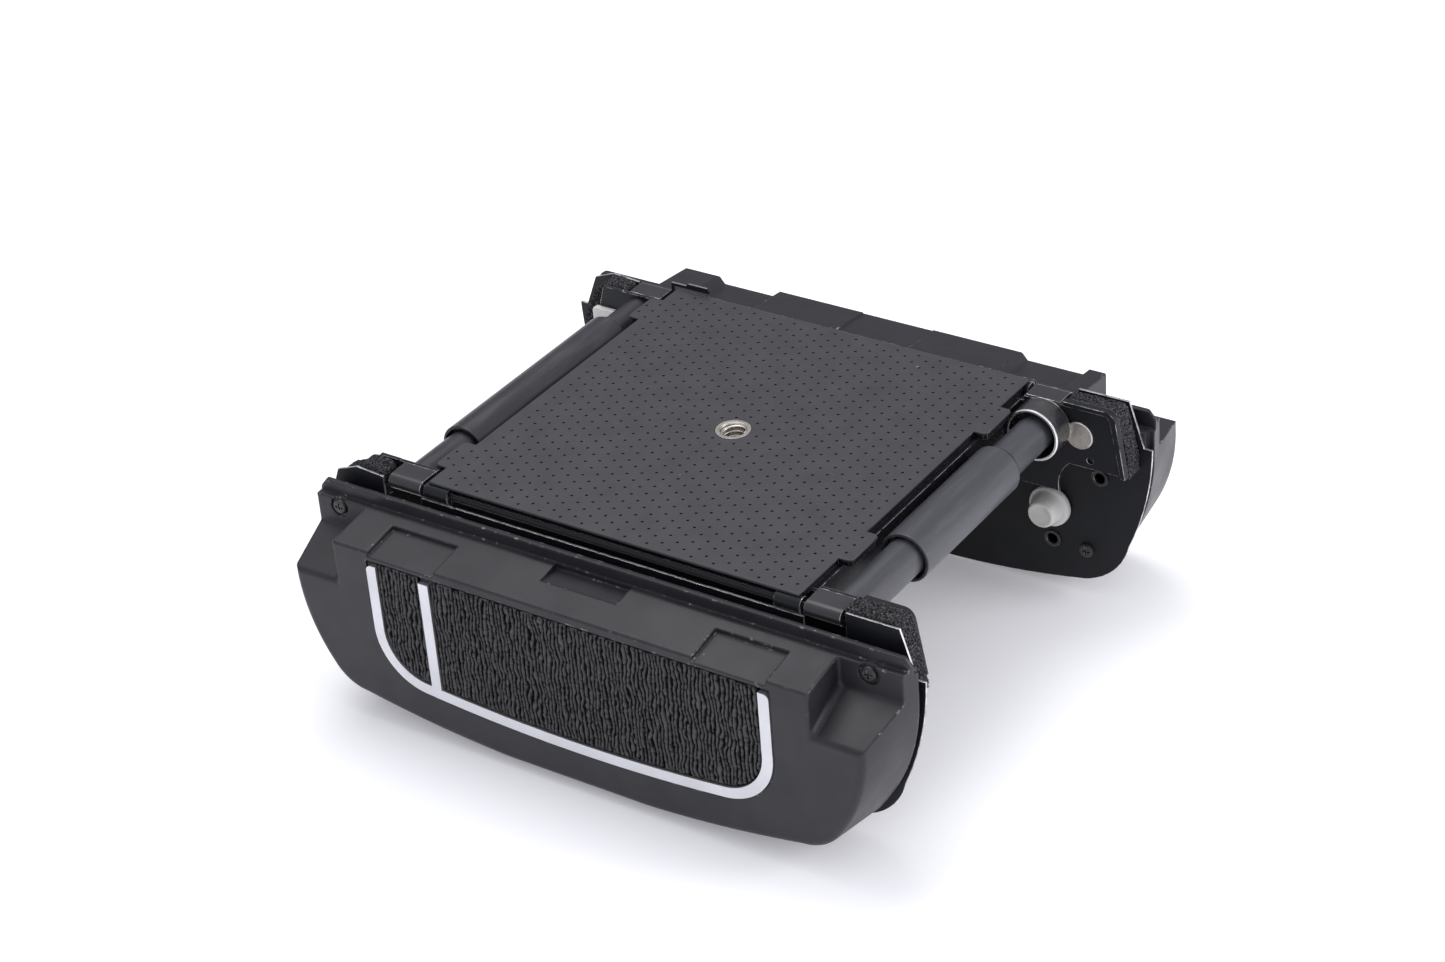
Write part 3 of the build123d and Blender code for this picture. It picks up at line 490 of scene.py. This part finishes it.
def covering():
    """The bed's sheet: real dimples on a triangular lattice, a rounded top edge and the socket's hole."""
    half_x, half_y, reach, thick, bevel = 53.2, 54.2, 3.5, 0.7, 0.8
    pitch, offset_x, offset_y = 3.6, 0.7, -0.2
    column_pitch = pitch * math.sqrt(0.75)
    dimple_r, dimple_depth, edge_r, hole_r = 0.46, 0.3, 0.25, 4.55
    right_ears = [(-37.0, -24.5), (26.0, 39.0)]
    left_ears = [(-47.0, -35.0), (36.0, 47.3)]
    loop = [(-half_x, -half_y), (half_x, -half_y)]
    for low, high in right_ears:
        loop += [(half_x, low), (half_x + reach - bevel, low), (half_x + reach, low + bevel),
                 (half_x + reach, high - bevel), (half_x + reach - bevel, high), (half_x, high)]
    loop += [(half_x, half_y), (-half_x, half_y)]
    for low, high in reversed(left_ears):
        loop += [(-half_x, high), (-half_x - reach + bevel, high), (-half_x - reach, high - bevel),
                 (-half_x - reach, low + bevel), (-half_x - reach + bevel, low), (-half_x, low)]
    loop = resample(loop, 2.5)
    hole = arc((0, 0), hole_r, 0, 360, 48)[:-1]
    solid = Solid()
    profile = [(0.0, -thick), (0.0, -edge_r), (0.07, -0.07), (edge_r, 0.0)]
    rims = []
    for edge in (loop, hole[::-1]):
        rings = [(inwards(edge, inset), z) for inset, z in profile]
        starts = [solid.add([(x, y, z) for x, y in ring]) for ring, z in rings]
        for low, high in zip(starts, starts[1:]):
            solid.band(low, high, len(edge))
        rims.append((rings[0][0], rings[-1][0]))
    centres = []
    columns = int(half_x / column_pitch) + 2
    rows = int(half_y / pitch) + 2
    for column in range(-columns, columns + 1):
        x = offset_x + column * column_pitch
        for row in range(-rows, rows + 1):
            y = offset_y + (row + column % 2 / 2) * pitch
            on_ear = any(low + 1.2 < y < high - 1.2 for low, high in (right_ears if x > 0 else left_ears))
            limit = half_x + reach - 1.2 if on_ear else half_x - 1.0
            if abs(x) < limit and abs(y) < half_y - 1.0 and math.hypot(x, y) > hole_r + 1.0:
                centres.append((x, y))
    inner = []
    heights = []
    for x, y in centres:
        inner.append((x, y))
        heights.append(-dimple_depth)
        for share, depth, count in ((0.55, 0.82, 6), (0.9, 0.15, 9), (1.05, 0.0, 9)):
            for k in range(count):
                turn = 2 * math.pi * k / count
                inner.append((x + dimple_r * share * math.cos(turn), y + dimple_r * share * math.sin(turn)))
                heights.append(-dimple_depth * depth)
    lookup = {(round(x, 4), round(y, 4)): z for (x, y), z in zip(inner, heights)}
    placed, faces = fill([rims[0][1], rims[1][1]], inner, hole_r)
    depths = [lookup.get((round(x, 4), round(y, 4)), 0.0) for x, y in placed]
    solid.sheet([(x, y, z) for (x, y), z in zip(placed, depths)], faces, [-z / dimple_depth for z in depths])
    placed, faces = fill([rims[0][0], rims[1][0]], (), hole_r)
    solid.sheet([(x, y, -thick) for x, y in placed], faces)
    solid.piece("dimpled_covering", "chassis", "dimpled_vinyl", "bed_covering", "pit", flat_z=0.0)


# ------------------------------------------------------------------ leather panels

TRIM_WIDTH = 2.9
PANEL_GAP = 0.12
PANEL_TOP = -11.9
DIVIDER_X = (-41.8, -38.9)


def crackle(x, z):
    """Height of the leather's grain, 0 to 1: upright wavy ridges, broken into pebbles and roughened."""
    sway = noise.noise(Vector((x * 0.20, z * 0.16, 4.0)))
    bend = noise.noise(Vector((x * 0.75, z * 0.42, 7.0)))
    phase = x / 1.12 + 0.75 * sway + 0.42 * bend
    ridge = 0.5 + 0.5 * math.cos(2 * math.pi * phase)
    gap = abs(noise.noise(Vector((round(phase) * 3.7, z * 0.62, 2.0))))
    merge = noise.noise(Vector((x * 0.9, z * 0.7, 12.0)))
    fine = noise.noise(Vector((x * 2.6, z * 1.7, 1.0)))
    height = ridge * (0.5 + 0.5 * min(1.0, gap * 5)) + 0.38 * max(0.0, merge) + 0.30 * fine
    return min(1.0, max(0.0, height))


def panel_loop(inset, top):
    """Counter-clockwise outline of the trim's inside, as (x, z)."""
    outer_x, corner_r, side_end, bottom_r = 57.7, 15.5, -31.0, 430.0
    corner_x = outer_x - corner_r
    lean = math.degrees(math.asin(corner_x / (bottom_r - corner_r)))
    bottom_centre = side_end + (bottom_r - corner_r) * math.cos(math.radians(lean))
    bottom = arc((0, bottom_centre), bottom_r - inset, 270 - lean, 270 + lean, 30)
    right = arc((corner_x, side_end), corner_r - inset, 270 + lean, 360, 14)
    left = arc((-corner_x, side_end), corner_r - inset, 180, 270 - lean, 14)
    side = outer_x - inset
    return left[:-1] + bottom[:-1] + right + [(side, top), (-side, top)]


def clip(loop, x_limit, keep_right):
    """Cut a loop at an upright line."""
    kept = []
    for start, end in zip(loop, loop[1:] + loop[:1]):
        inside = (start[0] >= x_limit) == keep_right
        if inside:
            kept.append(start)
        if ((end[0] >= x_limit) == keep_right) != inside:
            share = (x_limit - start[0]) / (end[0] - start[0])
            kept.append((x_limit, start[1] + (end[1] - start[1]) * share))
    return kept


def leather(name, node, side, face_y, body, cut, keep_right):
    """A closed sheet of leather, crowned towards its edges, with its grain as real relief."""
    step, crown_width, relief, proud = 0.26, 1.4, 0.6, 0.3
    back_y = face_y - 0.95
    loop = resample(clip(panel_loop(TRIM_WIDTH + PANEL_GAP, PANEL_TOP), cut, keep_right), 0.8)
    solid = Solid()
    ring = inwards(loop, 0.35)
    low_x, high_x = min(p[0] for p in ring), max(p[0] for p in ring)
    low_z, high_z = min(p[1] for p in ring), max(p[1] for p in ring)
    edge = np.array(ring)
    inner = []
    for row in range(int((high_z - low_z) / step)):
        z = low_z + step * (row + 0.5)
        for column in range(int((high_x - low_x) / step)):
            x = low_x + step * (column + 0.5 + row % 2 / 2)
            inner.append((x, z))
    inner = inside_only(edge, np.array(inner), 0.3)
    placed, faces = fill([ring], inner)

    def height(x, z):
        gap = np.min(np.hypot(edge[:, 0] - x, edge[:, 1] - z))
        crown = math.sqrt(1 - (1 - min(1.0, gap / crown_width)) ** 2)
        return face_y - 0.25 + crown * proud + relief * (crackle(x, z) - 0.55) * min(1.0, 0.3 + gap)

    def at(x, z, y):
        return x, side * y, z

    solid.sheet([at(x, z, height(x, z)) for x, z in placed], faces, [crackle(x, z) for x, z in placed])
    sides = ((loop, back_y), (loop, face_y - 0.5), (inwards(loop, 0.1), face_y - 0.32))
    starts = [solid.add([at(x, z, y) for x, z in outline]) for outline, y in sides]
    starts.append(solid.add([at(x, z, height(x, z)) for x, z in ring], [crackle(x, z) for x, z in ring]))
    for low, high in zip(starts, starts[1:]):
        solid.band(low, high, len(loop))
    placed, faces = fill([loop])
    solid.sheet([at(x, z, back_y) for x, z in placed], faces)
    solid.piece(name, body, "grained_leather", node, "grain")


def inside_only(edge, points, margin):
    """The points that lie inside a closed outline and at least a margin away from it."""
    x, z = points[:, 0:1], points[:, 1:2]
    x0, z0 = edge[:, 0], edge[:, 1]
    x1, z1 = np.roll(x0, -1), np.roll(z0, -1)
    spans = (z0 > z) != (z1 > z)
    with np.errstate(divide="ignore", invalid="ignore"):
        crossing = x < (x1 - x0) * (z - z0) / (z1 - z0) + x0
    inside = (np.sum(spans & crossing, axis=1) % 2) == 1
    along = ((x - x0) * (x1 - x0) + (z - z0) * (z1 - z0)) / ((x1 - x0) ** 2 + (z1 - z0) ** 2)
    along = np.clip(along, 0, 1)
    gap = np.min(np.hypot(x - x0 - along * (x1 - x0), z - z0 - along * (z1 - z0)), axis=1)
    return [tuple(p) for p in points[inside & (gap > margin)]]


# ------------------------------------------------------------------ foam

FOAM_VOXEL = 0.24


def foam(name, node, side, body, strips):
    """Open-cell foam strips: rounded bars whose skin is broken up by pores."""
    bars = [foam_bar(name, side, *strip) for strip in strips]
    foam_piece = bars[0]
    with bpy.context.temp_override(active_object=foam_piece, object=foam_piece, selected_editable_objects=bars):
        bpy.ops.object.join()
    foam_piece.name = name
    dress(foam_piece, "black_foam")
    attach(foam_piece, body)
    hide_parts(node)


def foam_bar(name, side, corners, y_limits, dome):
    """One strip: a block, remeshed, rounded and pitted. Its dome, if any, is (x, height, half width)."""
    solid = Solid()
    count = len(corners)
    low = solid.add([(x, side * y_limits[0], z) for x, z in corners])
    high = solid.add([(x, side * y_limits[1], z) for x, z in corners])
    solid.band(low, high, count)
    solid.faces += [tuple(range(low, low + count)), tuple(range(high, high + count))]
    mesh = bpy.data.meshes.new(name)
    mesh.from_pydata([Vector(p) * MM for p in solid.points], [], solid.faces)
    bar = bpy.data.objects.new(name, mesh)
    bpy.context.scene.collection.objects.link(bar)
    tidy = bmesh.new()
    tidy.from_mesh(mesh)
    bmesh.ops.recalc_face_normals(tidy, faces=tidy.faces)
    bmesh.ops.triangulate(tidy, faces=tidy.faces)
    tidy.to_mesh(mesh)
    tidy.free()
    remesh = bar.modifiers.new("remesh", "REMESH")
    remesh.mode = "VOXEL"
    remesh.voxel_size = FOAM_VOXEL * MM
    smooth = bar.modifiers.new("smooth", "SMOOTH")
    smooth.iterations = 8
    shape = bar.evaluated_get(bpy.context.evaluated_depsgraph_get())
    baked = bpy.data.meshes.new_from_object(shape)
    bar.modifiers.clear()
    bar.data = baked
    normals = [v.normal.copy() for v in baked.vertices]
    for vertex, normal in zip(baked.vertices, normals):
        place = vertex.co / MM
        place = place + normal * foam_relief(place)
        if dome:
            place.z += dome_rise(place, normal, *dome)
        vertex.co = place * MM
    baked.update()
    baked.polygons.foreach_set("use_smooth", [True] * len(baked.polygons))
    return bar


def foam_relief(place):
    """How far the foam's skin stands out from its block: pits at the pores, fine fuzz and broad swelling."""
    pore_size, pit_depth, fuzz_size, fuzz_depth, swell_size, swell_depth = 0.62, 0.5, 0.35, 0.16, 2.2, 0.18
    pore = noise.voronoi(place / pore_size, distance_metric="DISTANCE")[0][0]
    pit = -pit_depth * max(0.0, pore_size - pore)
    return pit + fuzz_depth * noise.noise(place / fuzz_size) + swell_depth * noise.noise(place / swell_size)


def dome_rise(place, normal, centre_x, height, half_width):
    """How far the upper skin is lifted into a dome. It fades out further down."""
    if normal.z <= -0.2:
        return 0.0
    share = max(0.0, 1 - ((place.x - centre_x) / half_width) ** 2)
    return height * math.sqrt(share) * min(1.0, max(0.0, (place.z + 6) / 4))


# ------------------------------------------------------------------ socket thread

def thread():
    """A helical ridge inside the tripod socket: 20 threads to the inch. It fades in and out over fade_steps."""
    pitch, turns, wall_r, depth, steps, fade_steps = 1.27, 5.4, 3.175 - 0.01, 0.62, 48, 20
    top_z, root_half, crest_half = -0.55, 0.5, 0.08
    solid = Solid()
    rings = int(turns * steps)
    for k in range(rings + 1):
        angle = 2 * math.pi * k / steps
        z = top_z - pitch * k / steps
        fade = min(1.0, k / fade_steps, (rings - k) / fade_steps)
        crest_r = wall_r - depth * max(0.05, fade)
        section = ((wall_r, root_half), (crest_r, crest_half), (crest_r, -crest_half), (wall_r, -root_half))
        solid.add([(r * math.cos(angle), r * math.sin(angle), z + rise) for r, rise in section])
    for k in range(rings):
        solid.band(4 * k, 4 * k + 4, 4)
    solid.faces += [(0, 1, 2, 3), tuple(4 * rings + j for j in (3, 2, 1, 0))]
    solid.piece("socket_thread", "chassis", "nickel")


# ------------------------------------------------------------------ hub

def turned(centre, profile):
    """A closed solid of revolution round a line along Y. The profile lists (y, radius) from tip to tail."""
    steps = 96
    solid = Solid()
    rings = []
    for y, radius in profile:
        rings.append(solid.add([(x, y, z) for x, z in arc(centre, radius, 0, 360, steps)[:-1]]))
    for low, high in zip(rings, rings[1:]):
        solid.band(low, high, steps)
    for ring, y in ((rings[0], profile[0][0]), (rings[-1], profile[-1][0])):
        middle = solid.add([(centre[0], y, centre[1])])
        solid.faces += [(ring + k, ring + (k + 1) % steps, middle) for k in range(steps)]
    return solid


def hub():
    """The nylon knob: a tapered nose with a dished tip on a round flange, and its spindle."""
    profile = [(48.85, 2.2), (48.72, 2.7), (48.6, 3.0), (48.62, 3.3), (48.75, 3.5), (49.0, 3.65), (51.0, 4.2),
               (52.5, 4.7), (52.8, 4.9), (52.9, 5.15), (53.0, 5.4), (53.2, 5.6), (53.5, 5.68),
               (54.2, 5.7), (54.6, 5.65), (54.7, 5.5), (54.7, 2.0), (62.8, 2.0), (63.0, 1.8)]
    turned((58.5, -35.9), profile).piece("turned_hub", "drive_hub", "white_nylon", "drive_hub")


def leather_and_foam(half, side, face_y, foam_top, flank, dome):
    """One housing's two leather panels and its foam. The left foam's flank can be set in towards the wall."""
    housing = half + "_housing"
    leather(half + "_leather_grain", half + "_leather_main", side, face_y, housing,
            DIVIDER_X[1] + PANEL_GAP, True)
    leather(half + "_leather_grain_side", half + "_leather_side", side, face_y, housing,
            DIVIDER_X[0] - PANEL_GAP, False)
    right_end = [(65.7, -7.0), (75.9, -7.0), (78.5, -13.4), (79.6, -18.6), (83.7, -18.6), (83.3, -13.0),
                 (80.6, -1.6), (79.6, foam_top), (65.7, foam_top - 0.2)]
    left_end = [(-66.8, -7.8), (-66.8, -2.2), (-74.4, -1.6), (-80.2 + flank, -4.0), (-83.9 + flank, -13.0),
                (-84.9 + flank, -19.6), (-79.6, -19.6), (-78.5, -13.4), (-75.9, -7.8)]
    foam(half + "_foam", half + "_foam_seals", side, housing,
         [(right_end, (49.1, 55.0), None), (left_end, (49.6, 55.0), dome)])


covering()
thread()
hub()
leather_and_foam("front", -1, face_y=75.5, foam_top=0.9, flank=0.0, dome=(-70.4, 2.0, 4.2))
leather_and_foam("rear", 1, face_y=79.2, foam_top=-0.3, flank=2.6, dome=(-70.0, 1.0, 5.0))


# ------------------------------------------------------------------ stage, light and camera

def stage():
    """A pale floor just under the object. It glows faintly, so that it stays white away from the lights."""
    floor_z = cad_low.z - 0.2 * MM
    bpy.ops.mesh.primitive_plane_add(size=8.0, location=(0, 0, floor_z))
    floor = bpy.context.object
    floor.name = "floor"
    s = Surface("floor_white", 0.8)
    s.set("Base Color", (0.90, 0.90, 0.925))
    s.set("Emission Color", (0.95, 0.95, 1.0))
    s.set("Emission Strength", 0.20)
    s.bump(s.noise(1.5, 3.0), 0.01)
    floor.data.materials.append(s.material)


def softbox(name, place, width, height, power):
    """A rectangular light aimed at the origin."""
    light = bpy.data.lights.new(name, "AREA")
    light.shape = "RECTANGLE"
    light.size, light.size_y = width, height
    light.energy = power
    box = bpy.data.objects.new(name, light)
    box.location = place
    box.rotation_euler = (-Vector(place)).to_track_quat("-Z", "Y").to_euler()
    bpy.context.scene.collection.objects.link(box)


def camera():
    """A long lens from the front right, 32 degrees above the base, rolled by 4.6 degrees."""
    right = Vector((0.83375, 0.54787, -0.06856))
    up = Vector((-0.24105, 0.47288, 0.84752))
    turn = Matrix((right, up, right.cross(up))).transposed().to_4x4()
    data = bpy.data.cameras.new("camera")
    data.lens = 80.12
    data.sensor_width = 36.0
    data.clip_start, data.clip_end = 0.01, 30.0
    eye = bpy.data.objects.new("camera", data)
    eye.matrix_world = Matrix.Translation((0.3943, -0.5540, 0.4062)) @ turn
    bpy.context.scene.collection.objects.link(eye)
    bpy.context.scene.camera = eye


def world():
    """A white surround: full white to the camera, and dimmer on the object towards the back left."""
    sky = bpy.data.worlds.new("studio")
    sky.use_nodes = True
    nodes, links = sky.node_tree.nodes, sky.node_tree.links
    background = nodes["Background"]
    background.inputs["Color"].default_value = (0.94, 0.945, 1.0, 1.0)
    direction = nodes.new("ShaderNodeTexCoord")
    toward = nodes.new("ShaderNodeVectorMath")
    toward.operation = "DOT_PRODUCT"
    links.new(direction.outputs["Generated"], toward.inputs[0])
    toward.inputs[1].default_value = (0.45, -0.5, 1.0)
    fall = nodes.new("ShaderNodeMapRange")
    links.new(toward.outputs["Value"], fall.inputs["Value"])
    for socket, value in (("From Min", -0.3), ("From Max", 1.0), ("To Min", 0.32), ("To Max", 0.95)):
        fall.inputs[socket].default_value = value
    rays = nodes.new("ShaderNodeLightPath")
    seen = nodes.new("ShaderNodeMath")
    seen.operation = "MAXIMUM"
    links.new(rays.outputs["Is Camera Ray"], seen.inputs[0])
    links.new(fall.outputs["Result"], seen.inputs[1])
    links.new(seen.outputs["Value"], background.inputs["Strength"])
    bpy.context.scene.world = sky
    bpy.context.scene.view_settings.view_transform = "Standard"


stage()
world()
softbox("top_softbox", (-0.4, 0.25, 1.25), 0.9, 0.9, 9.0)
softbox("side_softbox", (1.1, 0.45, 0.42), 0.5, 0.8, 7.5)
camera()
